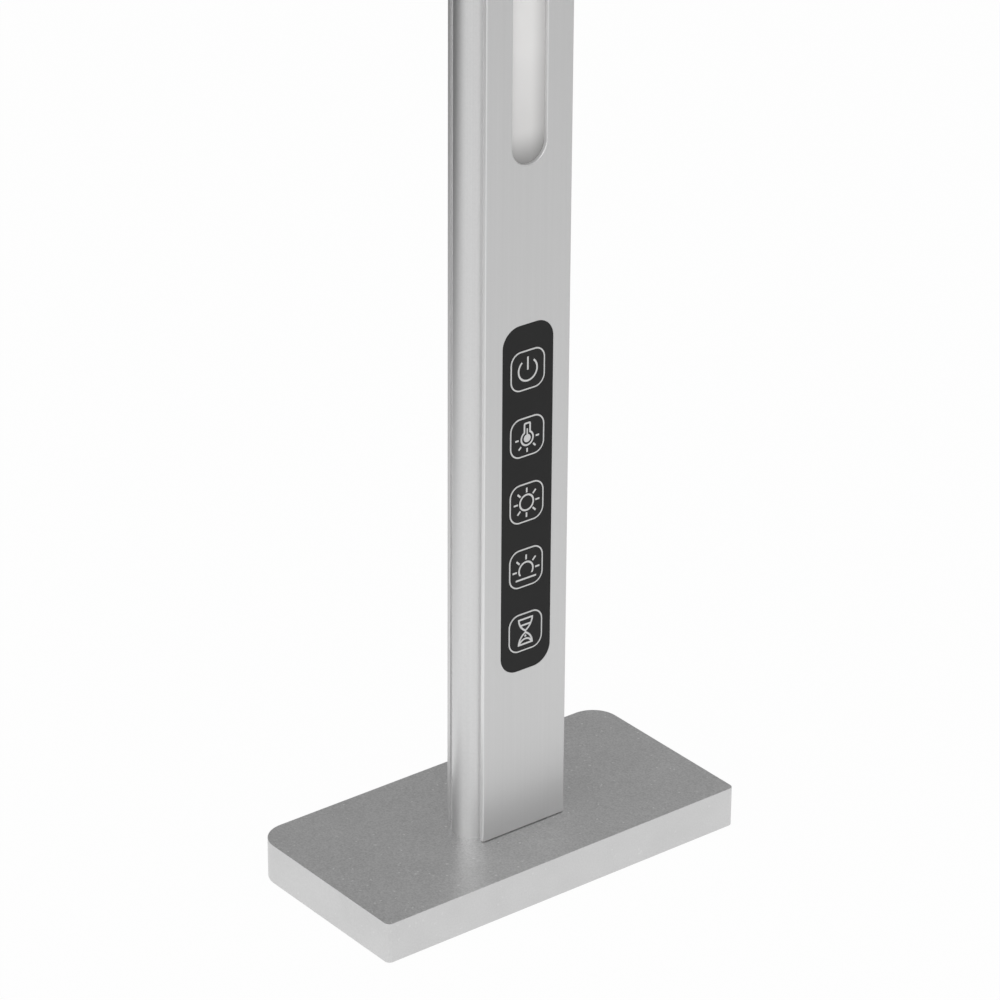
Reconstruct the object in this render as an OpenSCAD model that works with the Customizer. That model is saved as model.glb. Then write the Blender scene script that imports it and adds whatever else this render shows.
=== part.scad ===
// Arch lamp for a manicure table: two heavy base plates carry one bent aluminium arch.
// A strip of light lies in a slot along the inner face of the arch, and a panel of five
// keys sits low on the inner face of the left leg. Units are millimetres, Z is up, X runs
// from leg to leg, and the origin lies on the table under the middle of the lamp.

/* [Arch] */
// Width of the arch, outside to outside of the legs
arch_w = 750; // [600:10:1000]
// Height of the arch above the table
arch_h = 470; // [460:10:700]
// Bend radius of the inner face
bend_r = 100; // [60:5:110]
// Shift of the legs from the middle of the plates, towards the work
leg_shift_x = 4.5; // [0:0.5:8]
// Shift of the legs from the middle of the plates, towards the back
leg_shift_y = 0; // [0:0.5:5]

/* [Profile] */
// Width of the flat inner and outer faces
face_w = 35; // [33:0.5:40]
// Depth of the arch section, cover strip included
section_d = 20; // [19:0.5:24]
// Thickness of the cover strip and of the outer flange
cover_t = 1.5; // [1:0.1:1.8]
// Distance that the rounded sides stand out past the flat faces
bulge_out = 3.7; // [3:0.1:5]
// Width of the groove between a flat face and a rounded side
groove_w = 1.6; // [1:0.1:2]
// Depth of that groove
groove_d = 1.3; // [0.6:0.1:1.5]
// Width of the channel inside
channel_w = 23; // [22.5:0.1:23.5]
// Thickness of the wall behind the channel
back_wall = 2.5; // [2.2:0.1:3]
// Width of the rebate at the mouth of the channel
rebate_w = 26; // [25:0.1:27]
// Bore of the two screw ports
port_bore = 5.2; // [5.1:0.05:5.4]

/* [Light slot] */
// Width of the slot in the cover strip
slot_w = 14; // [10:0.5:16]
// Height of the slot's round end above the base plate
slot_rise = 243; // [210:1:260]
// Thickness of the diffuser and of the key panel's lip
lip_t = 1.5; // [1.2:0.1:1.8]

/* [Base plates] */
// Length of a base plate, front to back
plate_l = 150; // [120:1:200]
// Width of a base plate
plate_w = 75; // [65:1:100]
// Thickness of a base plate
plate_t = 15; // [12:0.5:20]
// Corner radius on the side away from the work
plate_outer_r = 10; // [8:0.5:20]
// Corner radius on the side of the work
plate_inner_r = 2; // [1:0.5:4]
// Distance from the edge of a plate to its foot pad
pad_inset = 4; // [2:0.5:6]
// Thickness of a foot pad
pad_t = 1.6; // [1.4:0.1:2]
// Depth of the recess that holds the pad
pad_recess = 1; // [0.6:0.1:1.2]

/* [Key panel] */
// Width of the key panel
panel_w = 21; // [20:0.1:22]
// Length of the key panel
panel_l = 126.6; // [124:0.2:132]
// Corner radius of the key panel
panel_r = 7; // [4:0.5:9]
// Height of the panel's lower end above the base plate
panel_rise = 61.3; // [56:0.1:66]
// Width and height of a key
key_w = 14.2; // [12:0.1:14.4]
// Corner radius of a key
key_r = 4.2; // [2:0.1:5]
// Distance between the middles of two keys
key_pitch = 24; // [22:0.1:25]
// Height of the lowest key's middle above the panel's lower end
key_first = 14.2; // [12:0.1:15]
// Travel of a key
key_travel = 0.4; // [0.3:0.05:0.5]

/* [Light source] */
// Distance between two light diodes along the strip
led_pitch = 12.5; // [8:0.5:20]
// Width of the diode strip
strip_w = 12; // [10:0.5:14]

/* [Hidden] */

$fn = 64;
// One overrun serves every cut
over = 1;
// Gap between two pieces that lie face to face over a bend, or are trapped
fit_gap = 0.05;
// Gap beside a piece that drops into a recess or window
side_gap = 0.1;
// Gap beside a key, all round
key_gap = 0.15;
// Gap under the cover strip at the foot
foot_gap = 0.3;

// Levels of the base
pad_lift = pad_t - pad_recess;
plate_top = pad_lift + plate_t;
plate_x = arch_w / 2 - section_d / 2 + leg_shift_x;

// Arch path: half distance between the inner faces, and the start of the bends
half_in = arch_w / 2 - section_d;
bend_x = half_in - bend_r;
bend_z = arch_h - section_d - bend_r;
leg_y = leg_shift_y;

// Depths in the section, measured from the inner face outwards
lip_d = cover_t + lip_t;
ledge_d = lip_d + fit_gap;
channel_d = section_d - back_wall;
flange_d = section_d - cover_t;
neck_w = face_w - 2 * groove_d;
bulge_reach = face_w / 2 + bulge_out;
bulge_rise = bulge_reach - neck_w / 2;
bulge_chord = section_d - 2 * cover_t - 2 * groove_w;
bulge_r = (bulge_chord * bulge_chord / 4 + bulge_rise * bulge_rise) / (2 * bulge_rise);
port_u = (channel_w / 2 + bulge_reach) / 2;
mid_d = section_d / 2;

// Light slot, diffuser and diode strip
slot_end_z = plate_top + slot_rise;
slot_arc_z = slot_end_z + slot_w / 2;
diffuser_lap = 6;
diffuser_z = slot_end_z - diffuser_lap;
strip_t = 0.4;
strip_lap = 3;
strip_z = slot_end_z - strip_lap;
strip_d = channel_d - fit_gap - strip_t;
strip_r = bend_r + strip_d;
leg_run = bend_z - strip_z;
bend_run = PI / 2 * strip_r;
top_run = 2 * bend_x;
path_run = 2 * leg_run + 2 * bend_run + top_run;
led_count = floor((path_run - led_pitch) / led_pitch);
led_first = (path_run - (led_count - 1) * led_pitch) / 2;
led_l = 2.8;
led_w = 3.5;
led_h = 0.8;
led_lens_inset = 0.4;
led_lens_h = 0.15;
resistor_l = 2;
resistor_w = 1.2;
resistor_h = 0.5;
resistor_u = 4;

// Base screws: countersunk, from below into the ports
screw_d = 5;
screw_hole_d = 5.5;
screw_head_d = 9.4;
screw_head_h = 2.8;
screw_seat_gap = 0.1;
screw_reach = 14;
screw_socket_d = 3.4;
screw_socket_h = 1.8;

// Key panel
panel_z = plate_top + panel_rise;
panel_lip = 1.9;
post_d = 4.4;
post_u = 8.6;
post_pilot_d = 1.7;
post_pilot_l = 4.5;
board_d = 9;
board_t = 1.2;
board_w = 20.6;
board_over = 4;
board_screw_hole_d = 2.2;
board_screw_d = 1.6;
board_screw_l = 4;
board_screw_head_d = 3.6;
board_screw_head_h = 1.2;
key_seat_gap = 0.05;
key_lip = 0.8;
key_lip_t = 0.8;
key_stem_d = 3.2;
key_stem_in = 0.6;
legend_t = 0.4;
switch_w = 6;
switch_h = 3.5;
switch_bore_d = 3.4;
switch_end_gap = 0.1;
key_z0 = panel_z + key_first;
key_count = 5;
function key_z(i) = key_z0 + i * key_pitch;
board_z0 = key_z(0) - key_w / 2 - board_over;
board_l = (key_count - 1) * key_pitch + key_w + 2 * board_over;
post_row_shares = [0.5, 3.5];

// Parts on the back of the key board
touch_chip_w = 7;
touch_chip_h = 1;
board_cap_l = 2;
board_cap_w = 1.25;
board_cap_h = 0.8;
board_plug_l = 7.5;
board_plug_w = 4;
board_plug_h = 3;

// Driver below the key panel
driver_l = 31;
driver_w = 20;
driver_t = 1.2;
driver_gap_below = 1.2;
driver_stand = 1.5;
driver_top_z = panel_z - panel_lip - driver_gap_below;
driver_z = driver_top_z - driver_l;
driver_back_d = channel_d - driver_stand;
driver_d = driver_back_d - driver_t;
driver_hole_u = 7.8;
driver_hole_in = 2.4;
spacer_d = 4;
driver_hole_d = 2.2;
driver_screw_d = 2;
driver_screw_head_d = 3.6;
driver_screw_head_h = 1.3;
driver_screw_in = 1.8;
driver_screw_gap = 0.05;
inductor_w = 8;
inductor_h = 5;
inductor_wire_d = 6;
inductor_wire_h = 0.6;
capacitor_d = 5;
capacitor_h = 7;
capacitor_foot = 5.4;
capacitor_foot_h = 0.8;
chip_l = 5;
chip_w = 4;
chip_h = 1.4;
plug_l = 4.2;
plug_w = 6;
plug_h = 4;
plug_wall = 0.6;

// Power inlet in the back of the left leg
jack_rise = 16;
jack_z = plate_top + jack_rise;
jack_thread_d = 7.9;
jack_hole_d = 8.1;
jack_body_d = 10.6;
jack_body_l = 10.5;
jack_out = 3;
jack_bore_d = 6.3;
jack_bore_l = 10;
jack_pin_d = 2.1;
jack_pin_in = 1.2;
jack_tab_w = 2.2;
jack_tab_t = 0.4;
jack_tab_l = 2.6;
jack_tab_u = 2.8;
nut_w = 12;
nut_t = 2;

// Leads: outer size of one wire, and the distance between two wires
wire_d = 1.3;
wire_step = 1.7;
wire_sides = 8;
// Chords of a rounded corner, and the share of Y past which a ring is set out from X
bend_chords = 4;
steep_share = 0.8;

// Legends, as shares of the key's width
line_share = 0.046;
frame_share = 0.035;
power_r_share = 0.293;
power_gap_angle = 38;
power_bar_share = 0.33;
bulb_y_share = -0.043;
bulb_r_share = 0.196;
stem_w_share = 0.21;
stem_top_share = 0.364;
stem_round_share = 0.05;
bulb_dot_share = 0.1;
mercury_w_share = 0.038;
mercury_top_share = 0.25;
warm_ray_shares = [0.25, 0.35];
sun_r_share = 0.221;
sun_ray_shares = [0.257, 0.379];
dusk_y_share = -0.064;
dusk_r_share = 0.229;
dusk_cut_share = -0.179;
dusk_ray_shares = [0.271, 0.4];
horizon_w_share = 0.607;
horizon_y_share = -0.286;
glass_half_share = 0.225;
glass_top_share = 0.364;
glass_low_share = 0.343;
sand_line_share = 0.186;
sand_r_share = 0.22;
sand_y_share = -0.386;
grain_y_share = -0.114;
grain_r_share = 0.03;

// Section of the arch, drawn with the depth along X and the width along Y
module strip_2d(d0, d1, w)
    translate([d0, -w / 2])
        square([d1 - d0, w]);

module profile_2d()
    difference() {
        union() {
            strip_2d(cover_t, section_d - cover_t, neck_w);
            strip_2d(flange_d, section_d, face_w);
            for (side = [-1, 1])
                intersection() {
                    translate([mid_d, side * (bulge_reach - bulge_r)])
                        circle(bulge_r);
                    translate([cover_t + groove_w, side > 0 ? 0 : -bulge_reach])
                        square([bulge_chord, bulge_reach]);
                }
        }
        strip_2d(cover_t - over, ledge_d, rebate_w);
        strip_2d(cover_t, channel_d, channel_w);
        for (side = [-1, 1])
            translate([mid_d, side * port_u])
                circle(d = port_bore);
    }

// Runs of the arch: each takes a section drawn as above
module on_side(side)
    mirror([side < 0 ? 1 : 0, 0, 0])
        children();

module leg_run_of(side, z0, z1)
    on_side(side)
        translate([half_in, leg_y, z0])
            linear_extrude(z1 - z0)
                children();

module bend_run_of(side)
    on_side(side)
        translate([bend_x, leg_y, bend_z])
            rotate([90, 0, 0])
                rotate_extrude(angle = 90, $fn = 96)
                    translate([bend_r, 0])
                        children();

module top_run_of()
    translate([0, leg_y, bend_z + bend_r])
        rotate([0, -90, 0])
            linear_extrude(top_run, center = true)
                children();

module whole_arch(z0) {
    for (side = [-1, 1]) {
        leg_run_of(side, z0, bend_z) children();
        bend_run_of(side) children();
    }
    top_run_of() children();
}

// Places a child on the diode strip, s along it from the left end; its +X faces inwards
module on_path(s, d) {
    up = s < leg_run;
    over_left = !up && s < leg_run + bend_run;
    level = !up && !over_left && s < leg_run + bend_run + top_run;
    over_right = !up && !over_left && !level && s < leg_run + 2 * bend_run + top_run;
    turn = up ? 0
        : over_left ? 90 * (s - leg_run) / bend_run
        : level ? 90
        : over_right ? 90 + 90 * (s - leg_run - bend_run - top_run) / bend_run
        : 180;
    ahead = up ? s - leg_run
        : over_left || over_right ? 0
        : level ? s - leg_run - bend_run
        : s - leg_run - 2 * bend_run - top_run;
    translate([up || over_left || level ? -bend_x : bend_x, leg_y, bend_z])
        rotate([0, turn, 0])
            translate([-bend_r - d, 0, ahead])
                children();
}

// A flat piece on the inner face of the left leg: drawn as seen from the work, from depth
// d0 to d1, with its middle at the height z
module on_face(z, d0, d1)
    translate([-half_in - d1, leg_y, z])
        rotate([90, 0, 90])
            linear_extrude(d1 - d0)
                children();

// A round piece square to the inner face of the left leg
module face_pin(u, z, d0, d1, dia)
    on_face(z, d0, d1)
        translate([u, 0])
            circle(d = dia);

module face_block(u, z, w, h, d0, d1)
    on_face(z, d0, d1)
        translate([u - w / 2, -h / 2])
            square([w, h]);

module round_rect(w, h, r) {
    square([w, h - 2 * r], center = true);
    square([w - 2 * r, h], center = true);
    for (x = [-1, 1], y = [-1, 1])
        translate([x * (w / 2 - r), y * (h / 2 - r)])
            circle(r);
}

// Base plates
module plate_2d(inset) {
    w = plate_w - 2 * inset;
    l = plate_l - 2 * inset;
    outer_r = plate_outer_r - inset;
    inner_r = max(plate_inner_r - inset, plate_inner_r / 2);
    translate([-w / 2 + inner_r, -l / 2])
        square([w - inner_r - outer_r, l]);
    translate([-w / 2, -l / 2 + inner_r])
        square([inner_r, l - 2 * inner_r]);
    translate([w / 2 - outer_r, -l / 2 + outer_r])
        square([outer_r, l - 2 * outer_r]);
    for (y = [-1, 1]) {
        translate([-w / 2 + inner_r, y * (l / 2 - inner_r)])
            circle(inner_r);
        translate([w / 2 - outer_r, y * (l / 2 - outer_r)])
            circle(outer_r);
    }
}

module screw_places(side)
    for (end = [-1, 1])
        on_side(side)
            translate([half_in + mid_d, leg_y + end * port_u, pad_lift + pad_recess])
                children();

module base_plate(side)
    color([0.60, 0.60, 0.60])
        difference() {
            on_side(side)
                translate([plate_x, 0, pad_lift])
                    linear_extrude(plate_t)
                        plate_2d(0);
            on_side(side)
                translate([plate_x, 0, pad_lift - over])
                    linear_extrude(pad_recess + over)
                        plate_2d(pad_inset - side_gap);
            screw_places(side) {
                cylinder(h = plate_t + over, d = screw_hole_d);
                cylinder(
                    h = screw_head_h,
                    d1 = screw_head_d + 2 * screw_seat_gap,
                    d2 = screw_hole_d
                );
            }
        }

module foot_pad(side)
    color([0.12, 0.12, 0.12])
        on_side(side)
            translate([plate_x, 0, 0])
                linear_extrude(pad_t - fit_gap)
                    plate_2d(pad_inset);

module base_screws(side)
    color([0.45, 0.45, 0.47])
        screw_places(side)
            translate([0, 0, screw_seat_gap])
                difference() {
                    union() {
                        cylinder(
                            h = screw_head_h - screw_seat_gap,
                            d1 = screw_head_d,
                            d2 = screw_d
                        );
                        cylinder(h = plate_t + screw_reach, d = screw_d);
                    }
                    translate([0, 0, -over])
                        cylinder(h = screw_socket_h + over, d = screw_socket_d, $fn = 6);
                }

// The bent aluminium section, with the hole for the power inlet and two driver screw holes
module arch_profile()
    color([0.72, 0.72, 0.72])
        difference() {
            whole_arch(plate_top)
                profile_2d();
            face_pin(0, jack_z, channel_d - over, section_d + over, jack_hole_d);
            driver_hole_places(channel_d - over, channel_d + driver_screw_in)
                circle(d = driver_screw_d + 2 * driver_screw_gap);
        }

// The flat inner strip, with the light slot and the window of the key panel
module cover_strip()
    color([0.77, 0.77, 0.77]) {
        for (side = [-1, 1])
            difference() {
                leg_run_of(side, plate_top + foot_gap, bend_z)
                    strip_2d(0, cover_t, face_w);
                leg_run_of(side, slot_arc_z, bend_z + over)
                    strip_2d(-over, cover_t + over, slot_w);
                on_side(side)
                    translate([half_in - over, leg_y, slot_arc_z])
                        rotate([0, 90, 0])
                            cylinder(h = cover_t + 2 * over, d = slot_w);
                if (side < 0)
                    on_face(panel_z + panel_l / 2, -over, cover_t + over)
                        round_rect(panel_w, panel_l, panel_r);
            }
        for (side = [-1, 1])
            bend_run_of(side)
                slotted_cover_2d();
        top_run_of()
            slotted_cover_2d();
    }

module slotted_cover_2d()
    difference() {
        strip_2d(0, cover_t, face_w);
        strip_2d(-over, cover_t + over, slot_w);
    }

module diffuser()
    color([0.92, 0.92, 0.90])
        whole_arch(diffuser_z)
            strip_2d(cover_t + fit_gap, lip_d, rebate_w - 2 * side_gap);

module led_strip()
    color([0.93, 0.93, 0.91])
        whole_arch(strip_z)
            strip_2d(strip_d, strip_d + strip_t, strip_w);

module led()
    difference() {
        translate([0, -led_w / 2, -led_l / 2])
            cube([led_h, led_w, led_l]);
        translate([
            led_h - led_lens_h,
            -led_w / 2 + led_lens_inset,
            -led_l / 2 + led_lens_inset
        ])
            cube([
                led_lens_h + over,
                led_w - 2 * led_lens_inset,
                led_l - 2 * led_lens_inset
            ]);
    }

module led_row(first)
    for (i = [first : 2 : led_count - 1])
        on_path(led_first + i * led_pitch, strip_d - fit_gap)
            led();

module warm_leds()
    color([0.95, 0.75, 0.35])
        led_row(0);

module cool_leds()
    color([0.95, 0.93, 0.60])
        led_row(1);

module strip_resistors()
    color([0.10, 0.10, 0.10])
        for (i = [0 : 3 : led_count - 2], side = [-1, 1])
            on_path(led_first + (i + 0.5) * led_pitch, strip_d - fit_gap)
                translate([0, side * resistor_u - resistor_w / 2, -resistor_l / 2])
                    cube([resistor_h, resistor_w, resistor_l]);

// Key panel: a flush black front with five key holes, a lip behind the cover strip and
// four posts for the board
module post_pins(d0, d1, dia)
    for (row = post_row_shares, side = [-1, 1])
        face_pin(side * post_u, key_z0 + row * key_pitch, d0, d1, dia);

module key_panel()
    color([0.18, 0.18, 0.18])
        difference() {
            union() {
                on_face(panel_z + panel_l / 2, 0, cover_t + fit_gap)
                    round_rect(
                        panel_w - 2 * side_gap,
                        panel_l - 2 * side_gap,
                        panel_r - side_gap
                    );
                on_face(panel_z + panel_l / 2, cover_t + fit_gap, lip_d)
                    round_rect(
                        panel_w + 2 * panel_lip,
                        panel_l + 2 * panel_lip,
                        panel_r + panel_lip
                    );
                post_pins(lip_d, board_d, post_d);
            }
            for (i = [0 : key_count - 1])
                on_face(key_z(i), -over, lip_d + over)
                    round_rect(
                        key_w + 2 * key_gap,
                        key_w + 2 * key_gap,
                        key_r + key_gap
                    );
            post_pins(board_d - post_pilot_l, board_d + over, post_pilot_d);
        }

// Legends, drawn as seen from the work
module ring_2d(r)
    difference() {
        circle(r);
        circle(r - line_share * key_w);
    }

module rays_2d(angles, shares)
    for (a = angles)
        rotate(a)
            translate([shares[0] * key_w, -line_share * key_w / 2])
                square([(shares[1] - shares[0]) * key_w, line_share * key_w]);

module power_2d() {
    r = power_r_share * key_w;
    difference() {
        ring_2d(r);
        polygon([
            [0, 0],
            [-2 * r * tan(power_gap_angle), 2 * r],
            [2 * r * tan(power_gap_angle), 2 * r]
        ]);
    }
    translate([-line_share * key_w / 2, 0])
        square([line_share * key_w, power_bar_share * key_w]);
}

module stem_2d(w, top, r) {
    translate([-w / 2, 0])
        square([w, top - r]);
    translate([-w / 2 + r, 0])
        square([w - 2 * r, top]);
    for (x = [-1, 1])
        translate([x * (w / 2 - r), top - r])
            circle(r);
}

module temperature_2d()
    translate([0, bulb_y_share * key_w]) {
        line = line_share * key_w;
        r = bulb_r_share * key_w;
        w = stem_w_share * key_w;
        top = (stem_top_share - bulb_y_share) * key_w;
        round_r = stem_round_share * key_w;
        difference() {
            union() {
                circle(r);
                stem_2d(w, top, round_r);
            }
            circle(r - line);
            translate([-w / 2 + line, 0])
                square([w - 2 * line, top - line]);
        }
        circle(bulb_dot_share * key_w);
        translate([-mercury_w_share * key_w / 2, 0])
            square([mercury_w_share * key_w, mercury_top_share * key_w]);
        rays_2d([180, 225, 270, 315, 360], warm_ray_shares);
    }

module brightness_2d() {
    ring_2d(sun_r_share * key_w);
    rays_2d([0 : 45 : 315], sun_ray_shares);
}

module night_2d() {
    r = dusk_r_share * key_w;
    translate([0, dusk_y_share * key_w])
        difference() {
            ring_2d(r);
            translate([-r, dusk_cut_share * key_w - dusk_y_share * key_w - r])
                square([2 * r, r]);
        }
    translate([0, dusk_y_share * key_w])
        rays_2d([0 : 45 : 180], dusk_ray_shares);
    translate([-horizon_w_share * key_w / 2, horizon_y_share * key_w - line_share * key_w / 2])
        square([horizon_w_share * key_w, line_share * key_w]);
}

// One bowl of the hourglass: flat at the height h, drawn in to a point at the waist
module bowl_2d(h, inset) {
    half = glass_half_share * key_w;
    c = (h * h - half * half) / (2 * half);
    intersection() {
        translate([-c, h])
            circle(c + half - inset);
        translate([c, h])
            circle(c + half - inset);
        translate([-half, 0])
            square([2 * half, h - inset]);
    }
}

module timer_2d() {
    line = line_share * key_w;
    top = glass_top_share * key_w;
    low = glass_low_share * key_w;
    difference() {
        union() {
            bowl_2d(top, 0);
            mirror([0, 1])
                bowl_2d(low, 0);
            square([line, line], center = true);
        }
        difference() {
            bowl_2d(top, line);
            translate([-key_w / 2, sand_line_share * key_w - line / 2])
                square([key_w, line]);
        }
        difference() {
            mirror([0, 1])
                bowl_2d(low, line);
            translate([0, sand_y_share * key_w])
                ring_2d(sand_r_share * key_w);
            translate([0, grain_y_share * key_w])
                circle(grain_r_share * key_w);
        }
    }
}

module frame_2d()
    difference() {
        round_rect(key_w, key_w, key_r);
        round_rect(
            key_w - 2 * frame_share * key_w,
            key_w - 2 * frame_share * key_w,
            key_r - frame_share * key_w
        );
    }

// One key: its cap fills the hole in the panel, its lip rests behind the panel, and its
// stem enters the bore of its switch. The child is the legend that it carries.
module key(i)
    color([0.20, 0.20, 0.20]) {
        lip_front = lip_d + key_seat_gap;
        difference() {
            union() {
                on_face(key_z(i), 0, lip_front)
                    round_rect(key_w, key_w, key_r);
                on_face(key_z(i), lip_front, lip_front + key_lip_t)
                    round_rect(key_w + 2 * key_lip, key_w + 2 * key_lip, key_r + key_lip);
            }
            on_face(key_z(i), -over, legend_t) {
                frame_2d();
                children();
            }
        }
        face_pin(0, key_z(i), lip_front + key_lip_t, stem_end_d, key_stem_d);
    }

switch_d = board_d - switch_h;
stem_end_d = switch_d + key_stem_in;

module legend(i)
    color([0.86, 0.86, 0.86])
        on_face(key_z(i), 0, legend_t) {
            frame_2d();
            children();
        }

module key_board()
    color([0.10, 0.30, 0.18])
        difference() {
            face_block(0, board_z0 + board_l / 2, board_w, board_l, board_d, board_d + board_t);
            post_pins(board_d - over, board_d + board_t + over, board_screw_hole_d);
        }

module key_switches()
    color([0.15, 0.15, 0.15])
        for (i = [0 : key_count - 1])
            difference() {
                face_block(0, key_z(i), switch_w, switch_w, switch_d, board_d);
                face_pin(
                    0, key_z(i), switch_d - over,
                    stem_end_d + key_travel + switch_end_gap, switch_bore_d
                );
            }

board_back_d = board_d + board_t;

module key_board_parts()
    color([0.12, 0.12, 0.13]) {
        face_block(0, key_z(2), touch_chip_w, touch_chip_w, board_back_d, board_back_d + touch_chip_h);
        for (side = [-1, 1])
            face_block(
                side * touch_chip_w, key_z(2), board_cap_w, board_cap_l,
                board_back_d, board_back_d + board_cap_h
            );
        face_block(
            keypad_plug_u, board_z0 + board_plug_w, board_plug_l, board_plug_w,
            board_back_d, board_back_d + board_plug_h
        );
    }

module key_board_screws()
    color([0.62, 0.62, 0.64]) {
        post_pins(board_back_d, board_back_d + board_screw_head_h, board_screw_head_d);
        post_pins(board_back_d - board_screw_l - board_t, board_back_d, board_screw_d);
    }

// Driver
module driver_hole_places(d0, d1)
    for (end = [-1, 1])
        on_face(
            end < 0 ? driver_z + driver_hole_in : driver_top_z - driver_hole_in,
            d0, d1
        )
            translate([end * driver_hole_u, 0])
                children();

module driver_board()
    color([0.08, 0.25, 0.40])
        difference() {
            face_block(
                0, driver_z + driver_l / 2, driver_w, driver_l,
                driver_d, driver_back_d
            );
            driver_hole_places(driver_d - over, driver_back_d + over)
                circle(d = driver_hole_d);
        }

module driver_spacers()
    color([0.85, 0.85, 0.82])
        driver_hole_places(driver_back_d, channel_d)
            difference() {
                circle(d = spacer_d);
                circle(d = driver_hole_d);
            }

module driver_screws()
    color([0.62, 0.62, 0.64]) {
        driver_hole_places(driver_d - driver_screw_head_h, driver_d)
            circle(d = driver_screw_head_d);
        driver_hole_places(driver_d, channel_d + driver_screw_in - driver_screw_gap)
            circle(d = driver_screw_d);
    }

// Places on the driver board, as shares of its half width and of its length
inductor_place_shares = [0.42, 0.5];
capacitor_place_shares = [[-0.56, 0.38], [-0.56, 0.6]];
chip_place_shares = [[0, 0.27], [0, 0.72]];
power_plug_share = 0.1;
lead_plug_share = 0.9;
keypad_plug_share = 0.1;
strip_plug_share = -0.6;
driver_half = driver_w / 2;
power_plug_z = driver_z + power_plug_share * driver_l;
lead_plug_z = driver_z + lead_plug_share * driver_l;
keypad_plug_u = keypad_plug_share * driver_half;
strip_plug_u = strip_plug_share * driver_half;

module driver_inductor()
    color([0.25, 0.25, 0.27]) {
        u = inductor_place_shares[0] * driver_half;
        z = driver_z + inductor_place_shares[1] * driver_l;
        face_block(u, z, inductor_w, inductor_w, driver_d - inductor_h, driver_d);
        face_pin(
            u, z, driver_d - inductor_h - inductor_wire_h, driver_d - inductor_h,
            inductor_wire_d
        );
    }

module driver_capacitors()
    color([0.70, 0.70, 0.74])
        for (place = capacitor_place_shares) {
            u = place[0] * driver_half;
            z = driver_z + place[1] * driver_l;
            face_block(
                u, z, capacitor_foot, capacitor_foot,
                driver_d - capacitor_foot_h, driver_d
            );
            face_pin(
                u, z, driver_d - capacitor_h, driver_d - capacitor_foot_h, capacitor_d
            );
        }

module driver_chips()
    color([0.10, 0.10, 0.11])
        for (place = chip_place_shares)
            face_block(
                place[0] * driver_half, driver_z + place[1] * driver_l, chip_l, chip_w,
                driver_d - chip_h, driver_d
            );

// A plug housing, open at the side where its wires leave: up or down
module plug(u, z, up)
    difference() {
        face_block(u, z, plug_w, plug_l, driver_d - plug_h, driver_d);
        face_block(
            u, z + (up ? 1 : -1) * plug_l / 2, plug_w - 2 * plug_wall, plug_l,
            driver_d - plug_h + plug_wall, driver_d - plug_wall
        );
    }

module driver_connectors()
    color([0.93, 0.92, 0.88]) {
        plug(0, power_plug_z, false);
        plug(keypad_plug_u, lead_plug_z, true);
        plug(strip_plug_u, lead_plug_z, true);
    }

// Power inlet: a round jack with a centre pin, clamped in the back wall by its nut
module power_jack()
    color([0.12, 0.12, 0.13]) {
        mouth_d = section_d + jack_out;
        floor_d = mouth_d - jack_bore_l;
        difference() {
            union() {
                face_pin(0, jack_z, channel_d - jack_body_l, channel_d, jack_body_d);
                face_pin(0, jack_z, channel_d, mouth_d, jack_thread_d);
            }
            face_pin(0, jack_z, floor_d, mouth_d + over, jack_bore_d);
        }
        face_pin(0, jack_z, floor_d, mouth_d - jack_pin_in, jack_pin_d);
        for (side = [-1, 1])
            face_block(
                side * jack_tab_u, jack_z, jack_tab_t, jack_tab_w,
                channel_d - jack_body_l - jack_tab_l, channel_d - jack_body_l
            );
    }

module jack_nut()
    color([0.70, 0.70, 0.72])
        difference() {
            on_face(jack_z, section_d, section_d + nut_t)
                circle(d = nut_w / cos(30), $fn = 6);
            face_pin(0, jack_z, section_d - over, section_d + nut_t + over, jack_hole_d);
        }

// Leads: each wire is a swept tube through points given as depth, across and height
function face_point(p) = [-half_in - p[0], leg_y + p[1], p[2]];
function unit(v) = v / norm(v);
function heading(pts, i) =
    i == 0 ? unit(pts[1] - pts[0])
    : i == len(pts) - 1 ? unit(pts[i] - pts[i - 1])
    : unit(unit(pts[i] - pts[i - 1]) + unit(pts[i + 1] - pts[i]));
function ring_at(pts, i, r) =
    let (
        t = heading(pts, i),
        side = unit(cross(t, abs(t[1]) > steep_share ? [1, 0, 0] : [0, 1, 0])),
        out = cross(t, side)
    )
    [for (k = [0 : wire_sides - 1])
        pts[i] + r * (cos(360 * k / wire_sides) * side + sin(360 * k / wire_sides) * out)];

module wire(pts) {
    n = len(pts);
    polyhedron(
        points = [for (i = [0 : n - 1]) each ring_at(pts, i, wire_d / 2)],
        faces = concat(
            [[for (k = [0 : wire_sides - 1]) k]],
            [for (i = [0 : n - 2], k = [0 : wire_sides - 1])
                each [
                    [
                        i * wire_sides + k,
                        (i + 1) * wire_sides + k,
                        i * wire_sides + (k + 1) % wire_sides
                    ],
                    [
                        i * wire_sides + (k + 1) % wire_sides,
                        (i + 1) * wire_sides + k,
                        (i + 1) * wire_sides + (k + 1) % wire_sides
                    ]
                ]],
            [[for (k = [wire_sides - 1 : -1 : 0]) (n - 1) * wire_sides + k]]
        )
    );
}

// Rounds the corners of a route with short arcs
function corner_points(a, b, c, r) =
    [for (k = [0 : bend_chords]) let (q = k / bend_chords)
        (1 - q) * (1 - q) * (b + r * unit(a - b)) + 2 * q * (1 - q) * b
        + q * q * (b + r * unit(c - b))];
function rounded(pts, r) = concat(
    [pts[0]],
    [for (i = [1 : len(pts) - 2]) each corner_points(pts[i - 1], pts[i], pts[i + 1], r)],
    [pts[len(pts) - 1]]
);

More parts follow.
